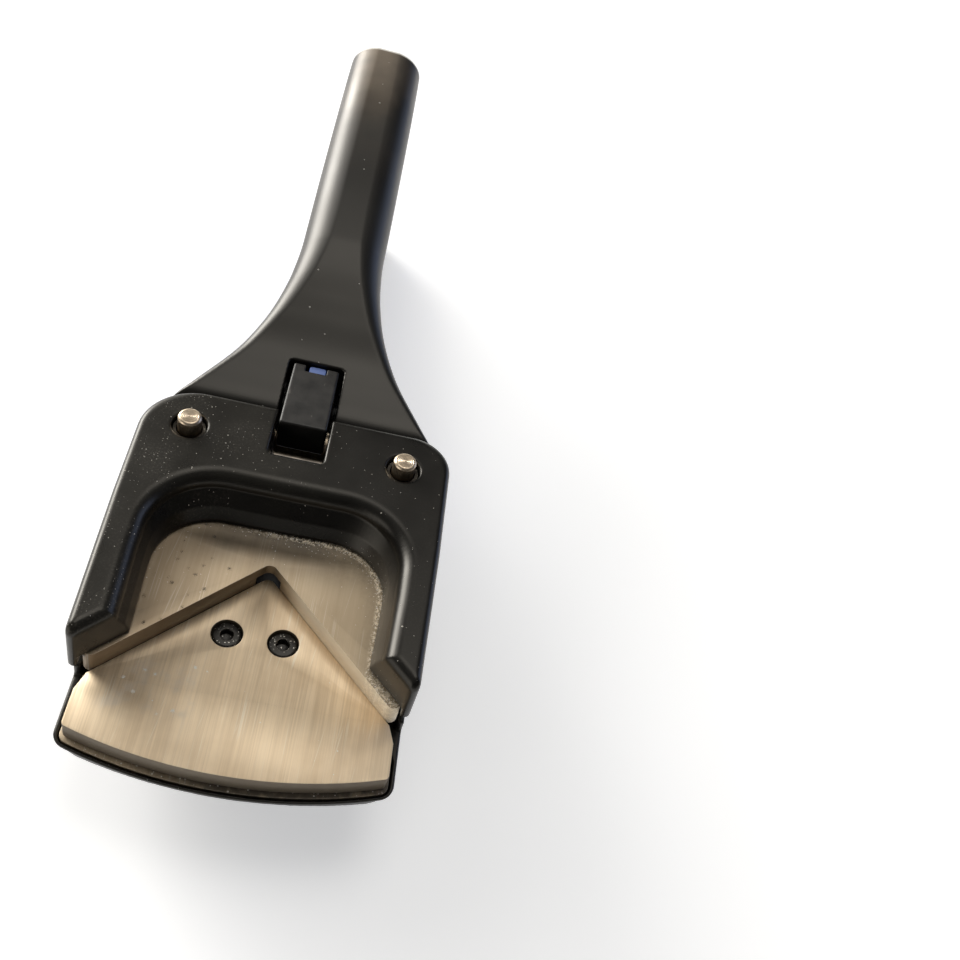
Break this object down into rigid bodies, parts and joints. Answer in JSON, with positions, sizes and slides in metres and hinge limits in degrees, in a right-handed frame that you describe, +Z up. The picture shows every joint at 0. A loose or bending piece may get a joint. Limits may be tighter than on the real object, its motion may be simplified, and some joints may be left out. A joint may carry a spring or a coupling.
{
  "type": "corner rounder",
  "caption": "Hand-squeezed corner rounder with a V guide plate, fan-shaped steel table, sliding frame on two posts, palm handle and lower squeeze lever.",
  "frame": {"origin": "centre of the heel's flat underside, on the plane the tool rests on", "axes": "+X right, +Y from the cutting head towards the handle ends, +Z up"},
  "size_m": [0.0808, 0.2488, 0.0783],
  "materials": {
    "black_casting": "satin",
    "black_handle": "satin",
    "ground_steel": "satin",
    "steel": "satin",
    "blackened_steel": "satin",
    "black_oxide": "satin",
    "spring_steel": "satin",
    "bronze": "satin",
    "blue_plastic": "satin"
  },
  "bodies": {
    "body": {"base_casting": "black_casting", "lower_plate": "ground_steel", "table_plate": "ground_steel", "table_screw_left": "black_oxide", "table_screw_right": "black_oxide", "guide_post_left": "steel", "guide_post_right": "steel", "post_spring_left": "spring_steel", "post_spring_right": "spring_steel", "upper_handle": "black_handle", "handle_dowel_left": "steel", "handle_dowel_right": "steel", "pivot_axle": "steel", "axle_clip_left": "black_oxide", "axle_clip_right": "black_oxide", "pivot_cap_left": "blue_plastic", "pivot_cap_right": "blue_plastic", "lever_spring": "spring_steel"},
    "frame": {"top_frame": "black_casting", "v_plate": "ground_steel", "v_plate_screw_front_left": "black_oxide", "v_plate_screw_front_right": "black_oxide", "v_plate_screw_rear_left": "black_oxide", "v_plate_screw_rear_right": "black_oxide", "post_bush_left": "blackened_steel", "post_bush_right": "blackened_steel", "roller_pin": "steel"},
    "roller": {"drive_roller": "steel"},
    "lever": {"nose_lever": "blackened_steel", "open_stop_buffer": "blue_plastic", "lever_bush": "bronze", "lower_handle": "black_handle", "grip_liner": "blue_plastic", "handle_rivet_front": "steel", "handle_rivet_rear": "steel", "liner_screw_front": "black_oxide", "liner_screw_rear": "black_oxide"}
  },
  "joints": [
    {"name": "lever_squeeze", "type": "hinge", "parent": "body", "child": "lever", "pos_m": [0, 0.032, 0.021], "axis": [1, 0, 0], "range_deg": [0, 18], "stiffness_Nm_per_rad": 0.5, "springref_deg": -17.19, "deforming": ["lever_spring"]},
    {"name": "frame_travel", "type": "slide", "parent": "body", "child": "frame", "axis": [0, 0, -1], "range_m": [0, 0.0044], "deforming": ["post_spring_left", "post_spring_right"]},
    {"name": "roller_spin", "type": "hinge", "parent": "frame", "child": "roller", "pos_m": [0, 0.018, 0.0315], "axis": [1, 0, 0], "continuous": true}
  ],
  "couplings": [
    {"joint": "frame_travel", "follows": "lever_squeeze", "m_per_rad": 0.014}
  ]
}
